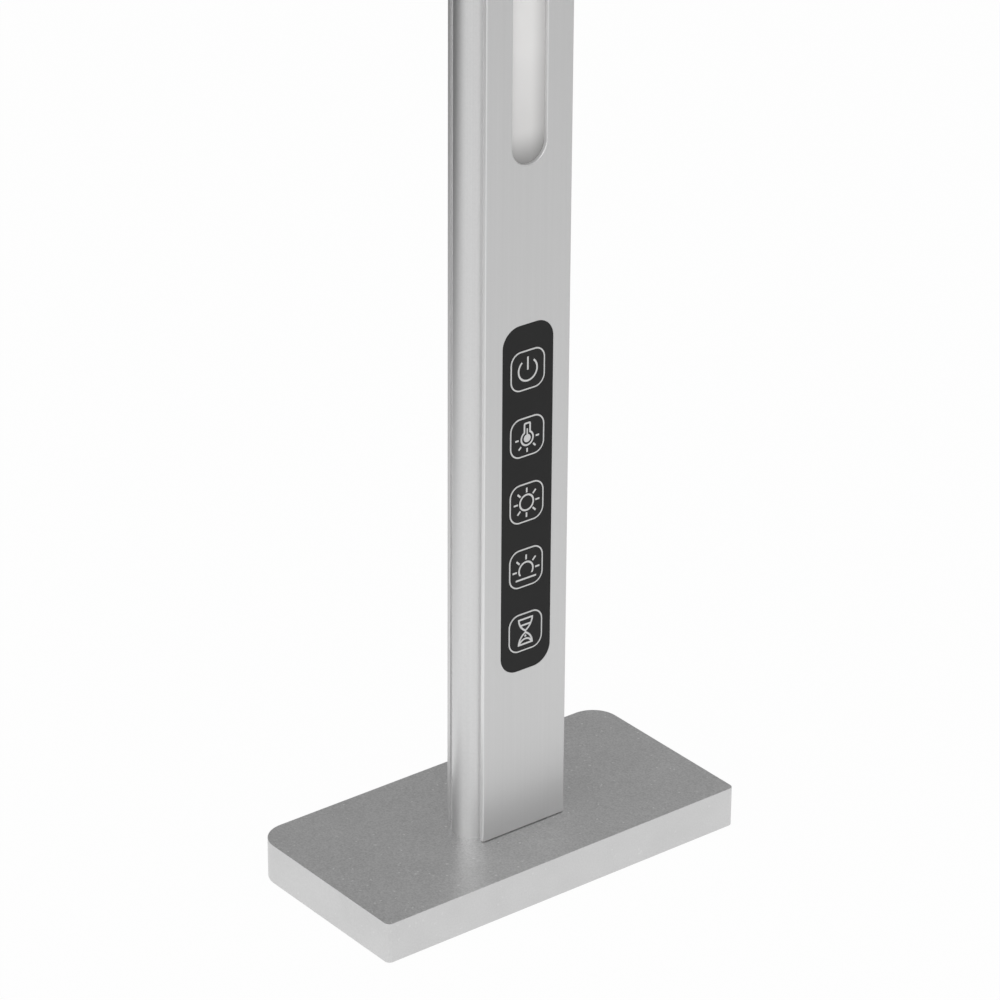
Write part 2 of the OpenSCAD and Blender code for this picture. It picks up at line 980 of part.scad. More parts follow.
// Room of the leads in the channel
lead_bend = 2;
lead_clear = 0.3;
cross_run = 12;
plug_mid_d = driver_d - plug_h / 2;
power_low_z = power_plug_z - plug_l / 2 + plug_wall;
tab_end_d = channel_d - jack_body_l - jack_tab_l;
tab_mid_d = tab_end_d + jack_tab_l / 2;
lead_high_z = lead_plug_z + plug_l / 2 - plug_wall;
rail_d = channel_d - wire_d / 2 - lead_clear;
strip_pad_z = strip_z - lead_clear;

module power_lead()
    color([0.75, 0.10, 0.10])
        for (side = [-1, 1])
            wire([for (p = rounded([
                [tab_mid_d, side * (jack_tab_u + wire_d), jack_z],
                [tab_mid_d, side * (jack_tab_u + wire_d), power_low_z - 2 * lead_bend],
                [plug_mid_d, side * wire_step / 2, power_low_z - 2 * lead_bend],
                [plug_mid_d, side * wire_step / 2, power_low_z]
            ], lead_bend / 2)) face_point(p)]);

module keypad_lead()
    color([0.85, 0.85, 0.85])
        for (k = [-1, 0, 1])
            wire([for (p = rounded([
                [plug_mid_d, keypad_plug_u + k * wire_step, lead_high_z],
                [plug_mid_d, keypad_plug_u + k * wire_step, driver_top_z],
                [board_plug_d, keypad_plug_u + k * wire_step, driver_top_z + lead_bend],
                [board_plug_d, keypad_plug_u + k * wire_step, keypad_end_z]
            ], lead_bend / 2)) face_point(p)]);

keypad_end_z = board_z0 + board_plug_w / 2;
board_plug_d = board_back_d + board_plug_h / 2;

module strip_lead()
    color([0.90, 0.90, 0.90])
        for (k = [-1, 0, 1])
            wire([for (p = rounded([
                [plug_mid_d, strip_plug_u + k * wire_step, lead_high_z],
                [plug_mid_d, strip_plug_u + k * wire_step, driver_top_z + lead_bend],
                [rail_d, strip_plug_u + k * wire_step, driver_top_z + 3 * lead_bend],
                [rail_d, strip_plug_u + k * wire_step, strip_pad_z - cross_run - lead_bend],
                [rail_d, k * wire_step, strip_pad_z - lead_bend],
                [rail_d, k * wire_step, strip_pad_z]
            ], lead_bend / 2)) face_point(p)]);

base_plate(-1);  // left_base_plate
base_plate(1);  // right_base_plate
foot_pad(-1);  // left_foot_pad
foot_pad(1);  // right_foot_pad
base_screws(-1);  // left_base_screws
base_screws(1);  // right_base_screws
arch_profile();
cover_strip();
diffuser();
led_strip();
warm_leds();
cool_leds();
strip_resistors();
key_panel();
key(0) timer_2d();  // timer_key
key(1) night_2d();  // night_key
key(2) brightness_2d();  // brightness_key
key(3) temperature_2d();  // temperature_key
key(4) power_2d();  // power_key
legend(0) timer_2d();  // timer_legend
legend(1) night_2d();  // night_legend
legend(2) brightness_2d();  // brightness_legend
legend(3) temperature_2d();  // temperature_legend
legend(4) power_2d();  // power_legend
key_board();
key_switches();
key_board_parts();
key_board_screws();
driver_board();
driver_inductor();
driver_capacitors();
driver_chips();
driver_connectors();
driver_spacers();
driver_screws();
power_jack();
jack_nut();
power_lead();
keypad_lead();
strip_lead();
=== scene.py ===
"""Looks of an arch lamp for a manicure table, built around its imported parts.

The add-on keeps one operator for each piece or group of like pieces. Run as a script,
it makes them all in order: the two base plates, the bent section with its cover strip
and diffuser, the keys, the inlet, what lies inside, and the white studio around them.
"""

import math

import bmesh
import bpy
from bpy.props import FloatProperty, FloatVectorProperty, IntProperty, PointerProperty
from bpy.types import Operator, Panel, PropertyGroup
from mathutils import Matrix, Vector


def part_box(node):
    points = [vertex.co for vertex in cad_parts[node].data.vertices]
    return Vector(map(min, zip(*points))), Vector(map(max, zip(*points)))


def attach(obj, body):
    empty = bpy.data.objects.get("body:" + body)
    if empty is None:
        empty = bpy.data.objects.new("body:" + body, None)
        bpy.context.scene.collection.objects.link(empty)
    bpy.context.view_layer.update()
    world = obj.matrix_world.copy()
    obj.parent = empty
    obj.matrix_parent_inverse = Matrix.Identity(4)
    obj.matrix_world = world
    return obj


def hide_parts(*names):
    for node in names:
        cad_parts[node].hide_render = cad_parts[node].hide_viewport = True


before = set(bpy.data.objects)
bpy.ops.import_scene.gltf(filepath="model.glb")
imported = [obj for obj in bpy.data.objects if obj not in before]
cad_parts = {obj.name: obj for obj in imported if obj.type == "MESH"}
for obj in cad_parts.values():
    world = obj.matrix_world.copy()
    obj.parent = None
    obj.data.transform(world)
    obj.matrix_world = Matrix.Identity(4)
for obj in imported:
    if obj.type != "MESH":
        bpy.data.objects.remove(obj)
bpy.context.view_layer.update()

bl_info = {
    "name": "Arch Lamp Looks",
    "version": (1, 0, 0),
    "blender": (4, 5, 0),
    "location": "3D View > Sidebar > Arch Lamp",
    "description": "Builds the finished look of an arch lamp around its packed parts",
    "category": "Object",
}

# The two legs, and which way each lies along the width
SIDES = {"left": -1, "right": 1}
KEYS = ("power", "temperature", "brightness", "night", "timer")

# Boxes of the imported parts, from which the defaults come
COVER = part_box("cover_strip")
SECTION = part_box("arch_profile")
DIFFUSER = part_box("diffuser")
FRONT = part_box("key_panel")
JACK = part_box("power_jack")
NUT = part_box("jack_nut")

# The cover strip's thickness, and the key panel's lip behind it
COVER_THICKNESS = 0.0015
PANEL_LIP = 0.0019

# Planes for a flat drawing: level, and on the left leg's inner and outer face
LEVEL = Matrix.Identity(4)
ON_INNER_FACE = Matrix(((0, 0, 1, 0), (1, 0, 0, 0), (0, 1, 0, 0), (0, 0, 0, 1)))
ON_OUTER_FACE = Matrix(((0, 0, -1, 0), (0, 1, 0, 0), (1, 0, 0, 0), (0, 0, 0, 1)))

# Places that are closer than this are the same place
NEAR = 1e-6
# A face looks along an axis where its normal has more than the first of it, and stands
# along the axis where it has less than the second
FACING = 0.9
ASIDE = 0.1
# The section's faces on the level top are larger than this, those at its ends smaller
TOP_AREA = 1e-3
# Angles between two faces from which their edge is shaded sharp, is a lip of the
# section, or is a rim of a base plate
CREASE = math.radians(40)
LIP_ANGLE = math.radians(50)
RIM_ANGLE = math.radians(60)

BLACK = (0.0, 0.0, 0.0)
WHITE = (1.0, 1.0, 1.0)
MATT_WHITE = (0.9, 0.9, 0.9)

# Where the floor darkens, in metres: towards the left, and away from the legs
FLOOR_SHADE = (0.46, 1.12)
FLOOR_FADE = (0.12, 1.5)
# Where the surroundings darken, as a part of a direction: upwards, and to the left
SKY_RISE = (0.05, 0.75)
SKY_SHADE = (0.3, 0.95)

# Scales of the lines along the arch, in turns to the metre of depth, width and length
SECTION_LINES = (2600.0, 2600.0, 4.0)
FINE_LINES = (0.0, 5200.0, 14.0)
BROAD_LINES = (0.0, 800.0, 5.0)


def length(name, description, default, least=0.0):
    """A length in metres that the user can change."""
    return FloatProperty(
        name=name, description=description, default=default, min=least,
        precision=5, subtype="DISTANCE", unit="LENGTH",
    )


def spot(name, description, default):
    """A place in metres that the user can change."""
    return FloatVectorProperty(
        name=name, description=description, default=default, size=3,
        precision=4, subtype="XYZ", unit="LENGTH",
    )


def tilt(name, description, degrees):
    """An angle that the user can change."""
    return FloatProperty(
        name=name, description=description, default=math.radians(degrees),
        subtype="ANGLE", unit="ROTATION",
    )


def tint(name, description, grey, warmth=0.0):
    """A colour that the user can change, given by its grey and how warm it is."""
    return FloatVectorProperty(
        name=name, description=description, size=3, min=0.0, max=1.0,
        subtype="COLOR", default=(grey + warmth, grey, grey - warmth),
    )


def share(name, description, default):
    """A number from 0 to 1 that the user can change."""
    return FloatProperty(
        name=name, description=description, default=default, min=0.0, max=1.0,
        subtype="FACTOR",
    )


def count(name, description, default, least, most):
    """A whole number that the user can change."""
    return IntProperty(
        name=name, description=description, default=default, min=least, max=most
    )


def power(name, description, default):
    """A lamp's power in watts that the user can change."""
    return FloatProperty(
        name=name, description=description, default=default, min=0.0, unit="POWER"
    )


class ArchSizes(PropertyGroup):
    """Sizes of the arch and of what lies along it."""

    inner_half: length(
        "Half opening", "From the middle of the lamp to the inner face of a leg",
        COVER[1].x - COVER_THICKNESS,
    )
    bend_radius: length("Bend radius", "Radius of the inner face in a bend", 0.1)
    cover_thickness: length(
        "Cover thickness", "Thickness of the cover strip", COVER_THICKNESS
    )
    slot_width: length("Slot width", "Width of the light slot", 0.014)
    slot_foot: length("Slot foot", "Height of the slot's round end", 0.2586)
    window_radius: length("Window radius", "Corner radius of the panel's window", 0.007)
    cover_break: length("Cover edge", "Rounded edge of the cover strip", 0.00045)
    section_break: length("Section edge", "Rounded edge of the section", 0.00012)
    lip_inset: length("Lips", "From the middle to the first rounded edge", 0.0155)
    groove_floor: length("Groove floor", "From the middle to a groove's floor", 0.0162)
    diffuser_gap: length("Diffuser gap", "From cover strip to diffuser", 0.00005)
    bend_steps: count("Bend steps", "Faces round one bend", 48, 8, 128)
    arc_steps: count("Arc steps", "Faces round a slot end or a corner", 24, 4, 64)


class PlateSizes(PropertyGroup):
    """Sizes of the base plates."""

    outer_radius: length("Outer corners", "Corner radius away from the work", 0.01)
    inner_radius: length("Inner corners", "Corner radius beside the work", 0.002)
    corner_steps: count("Corner steps", "Faces round a corner", 16, 2, 64)
    edge_break: length("Plate edge", "Broken edge at the top and bottom", 0.0003)
    recess_inset: length("Recess inset", "From the edge to the pad's recess", 0.0039)
    recess_depth: length("Recess depth", "Depth of the foot pad's recess", 0.001)
    pad_rib: length("Pad rib", "Distance between ribs of a foot pad", 0.003, 0.0005)


class InletSizes(PropertyGroup):
    """Sizes of the power inlet and its nut."""

    thread: length("Thread", "Diameter over the thread", 0.0079)
    thread_depth: length("Thread depth", "Depth of the thread", 0.00022)
    thread_pitch: length("Thread pitch", "Distance between two turns", 0.0005, 0.0002)
    body: length("Body", "Diameter of the body behind the wall", 0.0106)
    bore: length("Bore", "Diameter of the bore", 0.0063)
    bore_depth: length("Bore depth", "Depth of the bore", 0.0105)
    mouth_break: length("Mouth edge", "Broken edge of the bore's mouth", 0.0002)
    end_wall: length("End wall", "Wall behind the bore", 0.0005)
    pin: length("Pin", "Diameter of the centre pin", 0.0021)
    pin_inset: length("Pin inset", "From the mouth to the tip of the pin", 0.0012)
    pin_taper: share("Pin taper", "Part of the pin's radius that its tip loses", 0.4)
    wall: length("Wall", "Wall of the section that the inlet is clamped in", 0.0025)
    nut_bore: length("Nut bore", "Diameter of the nut's bore", 0.0081)
    nut_break: length("Nut edge", "Broken edge of the nut", 0.0004)
    steps: count("Steps", "Faces round the inlet", 48, 12, 128)


class LampFinishes(PropertyGroup):
    """Colours and gloss of the lamp."""

    plate: tint("Plate", "Blasted silver of the base plates", 0.62)
    plate_roughness: share("Plate roughness", "Roughness of the base plates", 0.37)
    section: tint("Section", "Anodised aluminium of the bent section", 0.7)
    section_roughness: share("Section roughness", "Roughness of the section", 0.42)
    cover: tint("Cover", "Brushed aluminium of the cover strip", 0.64)
    cover_roughness: share("Cover roughness", "Roughness of the cover strip", 0.44)
    diffuser: tint("Diffuser", "Opal white of the diffuser", 0.96, 0.008)
    panel: tint("Panel", "Black of the key panel and of the keys", 0.017)
    legend: tint("Legend", "Light grey of the key frames and signs", 0.72)
    rubber: tint("Rubber", "Black of the foot pads", 0.02)
    steel: tint("Steel", "Plated steel of screws and nut", 0.55, 0.01)


class StageLook(PropertyGroup):
    """The camera, the floor and the light around the lamp."""

    camera_place: spot(
        "Camera place", "Where the camera stands", (0.6851, -0.8317, 0.7952)
    )
    camera_heading: tilt("Heading", "Turn of the camera from the depth axis", 51.73)
    camera_dip: tilt("Dip", "Angle at which the camera looks down", 26.201)
    camera_roll: tilt("Roll", "Turn of the camera round its line of sight", 0.364)
    camera_sensor: FloatProperty(
        name="Sensor", description="Width of the camera's sensor", default=36.0,
        min=1.0, subtype="DISTANCE_CAMERA", unit="CAMERA",
    )
    camera_lens: FloatProperty(
        name="Lens", description="Focal length of the camera", default=162.36,
        min=20.0, subtype="DISTANCE_CAMERA", unit="CAMERA",
    )
    floor_radius: length("Floor", "Radius of the white floor", 8.0, 1.0)
    floor_drop: length("Floor drop", "How far the floor lies under the pads", 0.0001)
    shadow: share("Shadow", "Part of the lamp's shadow that the camera sees", 0.03)
    shade_floor: share("Shaded floor", "Light of the floor on the shaded side", 0.0)
    far_floor: share("Far floor", "Light of the floor far from the legs", 0.5)
    horizon: share("Horizon", "Light of the surroundings near the horizon", 0.88)
    overhead: share("Overhead", "Light of the surroundings overhead", 0.5)
    shade_sky: share("Shaded sky", "Light of the sky on the shaded side", 0.27)
    gloss_sky: share("Sky in gloss", "Least light of the sky in a reflection", 0.3)
    key_place: spot("Key place", "Where the right lamp stands", (1.2, -1.0, 2.5))
    key_aim: spot("Key aim", "What the right lamp faces", (-0.3, 0.0, 0.15))
    key_side: length("Key size", "Side of the right lamp", 3.2, 0.1)
    key_power: power("Key light", "Power of the right lamp", 18.0)
    fill_place: spot("Fill place", "Where the front lamp stands", (0.0, -2.3, 1.25))
    fill_aim: spot("Fill aim", "What the front lamp faces", (-0.4, 0.0, 0.1))
    fill_side: length("Fill size", "Side of the front lamp", 2.7, 0.1)
    fill_power: power("Fill light", "Power of the front lamp", 16.0)


class Shade:
    """An output of a shader node. Python's signs on it add the nodes for them."""

    def __init__(self, tree, socket=None):
        self.tree = tree
        self.socket = socket

    def feed(self, target, value):
        """Gives an input its value or its link."""
        if isinstance(value, Shade):
            self.tree.links.new(value.socket, target)
        else:
            target.default_value = value

    def node(self, kind, settings=None, sockets=None, out=0):
        """Adds a node: its settings, then the values or links of its sockets."""
        made = self.tree.nodes.new(kind)
        for name, value in (settings or {}).items():
            setattr(made, name, value)
        for name, value in (sockets or {}).items():
            self.feed(made.inputs[name], value)
        return Shade(self.tree, made.outputs[out])

    def sign(self, operation, other, turned=False):
        """Works out one sign with another output, a number or three numbers."""
        pair = (other, self) if turned else (self, other)
        if self.socket.type == "VALUE":
            return self.node(
                "ShaderNodeMath", {"operation": operation}, dict(enumerate(pair))
            )
        pair = [(p, p, p) if isinstance(p, (int, float)) else p for p in pair]
        if self.socket.type == "VECTOR":
            return self.node(
                "ShaderNodeVectorMath", {"operation": operation}, dict(enumerate(pair))
            )
        pair = [p if isinstance(p, Shade) else (*p, 1.0) for p in pair]
        # Sockets 0, 6 and 7 are the factor and the two colours
        return self.node(
            "ShaderNodeMix",
            {"data_type": "RGBA", "blend_type": operation},
            {0: 1.0, 6: pair[0], 7: pair[1]},
            out=2,
        )

    def __add__(self, other):
        return self.sign("ADD", other)

    def __radd__(self, other):
        return self.sign("ADD", other, True)

    def __sub__(self, other):
        return self.sign("SUBTRACT", other)

    def __rsub__(self, other):
        return self.sign("SUBTRACT", other, True)

    def __mul__(self, other):
        return self.sign("MULTIPLY", other)

    def __rmul__(self, other):
        return self.sign("MULTIPLY", other, True)

    def __gt__(self, other):
        return self.sign("GREATER_THAN", other)

    def larger(self, other):
        """The larger of this value and another."""
        return self.sign("MAXIMUM", other)

    def between(self, low, high):
        """A colour from low, where this value is 0, to high, where it is 1."""
        low, high = (c if isinstance(c, Shade) else (*c, 1.0) for c in (low, high))
        return self.node(
            "ShaderNodeMix", {"data_type": "RGBA"}, {0: self, 6: low, 7: high}, out=2
        )

    def tones(self, colour, low, high):
        """A colour times low, where this value is 0, to times high, where it is 1."""
        return self.between(toned(colour, low), toned(colour, high))

    def spread(self, low, high, first=0.0, last=1.0, kind="LINEAR"):
        """This value, moved from the range first to last into that of low to high."""
        # Sockets 1 to 4 are the ends of the two ranges
        return self.node(
            "ShaderNodeMapRange",
            {"interpolation_type": kind},
            {0: self, 1: first, 2: last, 3: low, 4: high},
        )

    def ease(self, low, high, first, last):
        """As spread, but with a soft start and end."""
        return self.spread(low, high, first, last, "SMOOTHSTEP")

    def place(self):
        """Where a point of the piece lies, in metres."""
        return self.node("ShaderNodeTexCoord", out="Object")

    def run(self):
        """Where a point lies on the unrolled arch: its depth, width and way along."""
        return self.node(
            "ShaderNodeAttribute", {"attribute_name": "run"}, out="Vector"
        )

    def rays(self):
        """Whether a ray is the camera's, a reflection's, or goes through a piece."""
        return [
            self.node("ShaderNodeLightPath", out=f"Is {kind} Ray")
            for kind in ("Camera", "Glossy", "Transmission")
        ]

    def part(self, axis):
        """One part of a vector."""
        return self.node("ShaderNodeSeparateXYZ", None, {0: self}, out=axis)

    def noise(self, scale, detail=2.0, roughness=0.5):
        """Soft noise at this place, with its scale in turns to the metre."""
        return self.node(
            "ShaderNodeTexNoise",
            None,
            {"Vector": self, "Scale": scale, "Detail": detail, "Roughness": roughness},
        )

    def grains(self, scale):
        """A number for each grain, at random from 0 to 1."""
        cells = self.node(
            "ShaderNodeTexVoronoi", None, {"Vector": self, "Scale": scale}, out="Color"
        )
        return cells.part(0)

    def ribs(self, scale, way):
        """Straight ribs that follow each other along an axis."""
        return self.node(
            "ShaderNodeTexWave",
            {"wave_type": "BANDS", "bands_direction": way},
            {"Vector": self, "Scale": scale, "Distortion": 0.0},
            out="Fac",
        )

    def bump(self, strength, rise):
        """The surface's direction, where a value of 1 lies rise metres high."""
        return self.node(
            "ShaderNodeBump",
            None,
            {"Strength": strength, "Distance": rise, "Height": self},
            out="Normal",
        )


def toned(colour, factor):
    """A colour made darker or lighter."""
    return tuple(min(1.0, channel * factor) for channel in colour)


def finish(name, looks, **fixed):
    """A material: looks takes the start of its tree, and gives its varying sockets."""
    material = bpy.data.materials.new(name)
    material.use_nodes = True
    start = Shade(material.node_tree)
    shader = material.node_tree.nodes["Principled BSDF"]
    for socket, value in fixed.items():
        shader.inputs[socket.replace("_", " ")].default_value = value
    for socket, value in looks(start).items():
        start.feed(shader.inputs[socket], value)
    return material


def mottled(name, colour, scale, spread=0.06, rough=(0.4, 0.5), relief=0.0):
    """A material whose colour, roughness and height wander a little."""

    def looks(start):
        patches = start.place().noise(scale, detail=3.0)
        made = {
            "Base Color": patches.tones(colour, 1 - spread, 1 + spread),
            "Roughness": patches.spread(*rough),
        }
        if relief:
            fine = start.place().noise(scale * 4, detail=3.0)
            made["Normal"] = fine.bump(0.4, relief)
        return made

    return finish(name, looks)


def blasted_silver(finishes):
    """Silver, blasted on top with painted glints on a few grains, smooth beside."""
    grain_scale = 1500.0
    glints_from = 0.994

    def looks(start):
        place = start.place()
        up = start.node("ShaderNodeNewGeometry", out="Normal").part(2)
        # The sides have a quarter of the blasting that the top has
        blasted = up.spread(0.25, 1.0, 0.1, 0.9)
        grain = (place.noise(grain_scale, roughness=0.6) - 0.5) * blasted
        cloud = place.noise(60.0) - 0.5
        # Painted glints: a few grains on top are made lighter in colour
        painted_glint = (place.grains(grain_scale) > glints_from) * blasted
        tone = grain * 1.7 + cloud * 0.3 + 0.5
        base = tone.tones(finishes.plate, 0.8, 1.2)
        rough = finishes.plate_roughness
        return {
            "Base Color": (painted_glint * 0.6).between(base, toned(finishes.plate, 1.5)),
            "Roughness": grain.spread(rough - 0.05, rough + 0.05, -0.2, 0.2)
            - painted_glint * 0.06,
            "Normal": grain.bump(0.3, 0.00006),
        }

    return finish("plate_paint", looks, Metallic=0.8)


def anodised(finishes, arch):
    """Matt aluminium with a fine grain and faint lines along it, and painted light in
    its grooves.
    """
    floor, blur = arch.groove_floor, 0.001

    def looks(start):
        run = start.run()
        # Painted light: the floors of the grooves are made lighter in colour, against
        # their shade
        painted_groove_light = run.part(1).sign("ABSOLUTE", 0.0).ease(1.0, 0.0, floor, floor + blur)
        grain = start.place().noise(1100.0, detail=3.0, roughness=0.65)
        lines = (run * SECTION_LINES).noise(1.0)
        tone = (grain * 0.6 + lines * 0.4).spread(0.0, 1.0, 0.3, 0.7)
        metal = tone.tones(finishes.section, 0.96, 1.04)
        rough = finishes.section_roughness
        return {
            "Base Color": painted_groove_light.between(metal, toned(finishes.section, 1.25)),
            "Roughness": grain.spread(rough - 0.04, rough + 0.06),
            "Normal": (grain * 0.7 + lines * 0.3).bump(0.22, 0.00006),
        }

    return finish("profile_aluminium", looks, Metallic=0.86)


def brushed(finishes):
    """Aluminium with hair lines that run along the strip, and a painted highlight on
    its cut edges.
    """
    rim_highlight_depth = (0.00005, 0.0002)

    def looks(start):
        run = start.run()
        fine = (run * FINE_LINES).noise(1.0, detail=3.0, roughness=0.7)
        broad = (run * BROAD_LINES).noise(1.0)
        # Painted highlight: the rims and the slot's walls, deeper than the front, are
        # made lighter in colour
        painted_rim_highlight = run.part(0).spread(0.0, 1.0, *rim_highlight_depth)
        lines = (fine * 0.65 + broad * 0.35).spread(0.0, 1.0, 0.25, 0.75)
        metal = lines.tones(finishes.cover, 0.965, 1.035)
        rough = finishes.cover_roughness
        return {
            "Base Color": painted_rim_highlight.between(metal, toned(finishes.cover, 1.32)),
            "Roughness": fine.spread(rough - 0.05, rough + 0.07),
            "Normal": fine.bump(0.12, 0.00004),
        }

    return finish("cover_aluminium", looks, Metallic=0.75)


def opal(finishes):
    """Opal plastic, with painted shade at its ends and towards one side, where the
    slot's recess shades it.
    """
    # Where the painted shade darkens it, in metres: at its ends, near them, and from
    # its middle line on
    at_end, near_end, off_middle = (0.005, 0.018), (0.012, 0.045), (0.001, 0.0075)

    def looks(start):
        run = start.run()
        along = run.part(2)
        # Painted shade: darker towards the ends of the diffuser
        end = along.ease(0.45, 1.0, *at_end) * along.spread(0.84, 1.0, *near_end)
        # Painted shade: darker towards one side of the diffuser
        side = run.part(1).ease(1.0, 0.7, *off_middle)
        cloud = start.place().noise(90.0)
        # A random tone, times the painted shade of the ends and the side
        light = cloud.spread(0.97, 1.0) * side * end
        return {
            "Base Color": light.between(BLACK, finishes.diffuser),
            "Roughness": cloud.spread(0.36, 0.46),
            "Normal": start.place().noise(1800.0).bump(0.1, 0.00003),
        }

    return finish("diffuser_white", looks, Specular_IOR_Level=0.4)


def black_film(name, colour, rough):
    """Matt black with a very fine grain."""

    def looks(start):
        place = start.place()
        grain = place.noise(2400.0)
        cloud = place.noise(120.0)
        return {
            "Base Color": (grain * 0.5 + cloud * 0.5).tones(colour, 0.8, 1.2),
            "Roughness": grain.spread(rough - 0.05, rough + 0.05),
            "Normal": grain.bump(0.15, 0.00003),
        }

    return finish(name, looks, Specular_IOR_Level=0.18)


def ribbed_rubber(finishes, sizes):
    """Rubber with fine ribs across the pad."""
    # A wave of scale 1 has a rib every 0.314 m
    scale = 0.314 / sizes.pad_rib

    def looks(start):
        place = start.place()
        grain = place.noise(1600.0)
        return {
            "Base Color": grain.tones(finishes.rubber, 0.7, 1.3),
            "Roughness": grain.spread(0.65, 0.85),
            "Normal": (place.ribs(scale, "Y") * 0.8 + grain * 0.2).bump(0.5, 0.0003),
        }

    return finish("pad_rubber", looks, Specular_IOR_Level=0.3)


def turned_steel(name, colour, rough=0.3):
    """Plated steel with faint marks of machining."""

    def looks(start):
        place = start.place()
        marks = place.noise(3200.0)
        return {
            "Base Color": place.noise(400.0).tones(colour, 0.88, 1.1),
            "Roughness": marks.spread(rough - 0.07, rough + 0.1),
            "Normal": marks.bump(0.12, 0.00003),
        }

    return finish(name, looks, Metallic=0.95)


def board(name, colour):
    """A circuit board: the weave of its glass cloth under the lacquer, and tracks."""

    def looks(start):
        place = start.place()
        cloth = place.ribs(300.0, "Y") * 0.5 + place.ribs(300.0, "Z") * 0.5
        tracks = place.node(
            "ShaderNodeTexBrick",
            None,
            {"Vector": place, "Scale": 260.0, "Mortar Size": 0.06},
            out="Fac",
        )
        base = cloth.tones(colour, 0.85, 1.1)
        return {
            "Base Color": (tracks * 0.5).between(base, toned(colour, 1.8)),
            "Roughness": cloth.spread(0.3, 0.4),
            "Normal": (cloth * 0.4 + tracks * 0.6).bump(0.2, 0.00005),
        }

    return finish(name, looks, Coat_Weight=0.3)


def inner_finishes():
    """The finishes of what lies inside the lamp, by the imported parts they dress."""
    chip = mottled(
        "chip_black", (0.018, 0.018, 0.019), 1800.0,
        spread=0.2, rough=(0.5, 0.7), relief=0.00003,
    )
    return {
        "led_strip": mottled("strip_white", (0.82, 0.82, 0.8), 500.0, spread=0.03),
        "warm_leds": mottled(
            "warm_phosphor", (0.85, 0.55, 0.12), 2500.0, spread=0.1, relief=0.00004
        ),
        "cool_leds": mottled(
            "cool_phosphor", (0.82, 0.76, 0.3), 2500.0, spread=0.1, relief=0.00004
        ),
        "strip_resistors": chip,
        "key_switches": chip,
        "key_board_parts": chip,
        "driver_chips": chip,
        "key_board": board("board_green", (0.012, 0.09, 0.035)),
        "driver_board": board("board_blue", (0.008, 0.05, 0.13)),
        "driver_inductor": mottled(
            "ferrite_grey", (0.05, 0.05, 0.055), 1500.0,
            spread=0.2, rough=(0.6, 0.8), relief=0.00006,
        ),
        "driver_capacitors": turned_steel("can_aluminium", (0.62, 0.62, 0.64), 0.25),
        "driver_connectors": mottled(
            "plug_cream", (0.78, 0.74, 0.62), 600.0, spread=0.04
        ),
        "driver_spacers": mottled(
            "spacer_nylon", (0.75, 0.75, 0.7), 500.0, spread=0.04
        ),
        "power_lead": mottled("wire_red", (0.5, 0.02, 0.02), 700.0, spread=0.08),
        "keypad_lead": mottled("wire_grey", (0.3, 0.3, 0.31), 700.0, spread=0.08),
        "strip_lead": mottled("wire_white", (0.74, 0.74, 0.72), 700.0, spread=0.04),
    }


def dress(node, material):
    """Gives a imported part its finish."""
    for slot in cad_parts[node].material_slots:
        slot.material = material


def add_object(name, data):
    """Adds an object with its mesh, lamp or camera to the scene."""
    made = bpy.data.objects.new(name, data)
    bpy.context.scene.collection.objects.link(made)
    return made


def add_mesh(bm, name, material):
    """Adds an object with a finished shape and one material to the scene."""
    mesh = bpy.data.meshes.new(name)
    bm.to_mesh(mesh)
    bm.free()
    mesh.materials.append(material)
    return add_object(name, mesh)


def keep(bm, name, node, material):
    """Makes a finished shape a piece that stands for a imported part."""
    for face in bm.faces:
        face.smooth = True
    for edge in bm.edges:
        edge.smooth = (
            len(edge.link_faces) == 2 and edge.calc_face_angle(0.0) < CREASE
        )
    piece = add_mesh(bm, name, material)
    even = piece.modifiers.new("even_normals", "WEIGHTED_NORMAL")
    even.keep_sharp = True
    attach(piece, "stand")
    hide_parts(node)
    return piece


def closed(bm):
    """Welds a shape's seams and turns its faces outwards."""
    bmesh.ops.remove_doubles(bm, verts=bm.verts[:], dist=NEAR)
    bmesh.ops.recalc_face_normals(bm, faces=bm.faces[:])


def edges_of(geometry):
    """The edges among what an operator made."""
    return [part for part in geometry if isinstance(part, bmesh.types.BMEdge)]


def verts_of(geometry):
    """The points among what an operator made."""
    return [part for part in geometry if isinstance(part, bmesh.types.BMVert)]


def rectangle(bm, middle, across, up, plane=LEVEL):
    """A flat rectangle, level or turned to another plane."""
    bmesh.ops.create_grid(
        bm,
        x_segments=1,
        y_segments=1,
        size=0.5,
        matrix=Matrix.Translation(middle)
        @ plane
        @ Matrix.Diagonal((across, up, 1.0, 1.0)),
    )


def join_up(bm, verts):
    """Joins points one after the other by edges."""
    return [bm.edges.new(pair) for pair in zip(verts, verts[1:])]


def fill(bm, edges, normal):
    """Fills a flat outline, but for its holes, with faces that look one way."""
    bmesh.ops.triangle_fill(bm, use_beauty=True, edges=edges, normal=normal)


def soften(bm, geometry, radius, segments, affect="EDGES"):
    """Rounds edges, or the corner points of a flat shape."""
    bmesh.ops.bevel(
        bm,
        geom=geometry,
        offset=radius,
        offset_type="OFFSET",
        segments=segments,
        profile=0.5,
        affect=affect,
        material=-1,
    )


def inset(bm, faces, thickness, depth):
    """Insets faces: a depth above 0 lifts what is left inside, one below sinks it."""
    bmesh.ops.inset_region(
        bm,
        faces=faces,
        thickness=thickness,
        depth=depth,
        use_boundary=True,
        use_even_offset=True,
    )


def thicken(bm, way):
    """Draws a flat shape out along a straight line into a closed one."""
    top = bmesh.ops.extrude_face_region(bm, geom=bm.faces[:])["geom"]
    bmesh.ops.translate(bm, verts=verts_of(top), vec=way)
    closed(bm)


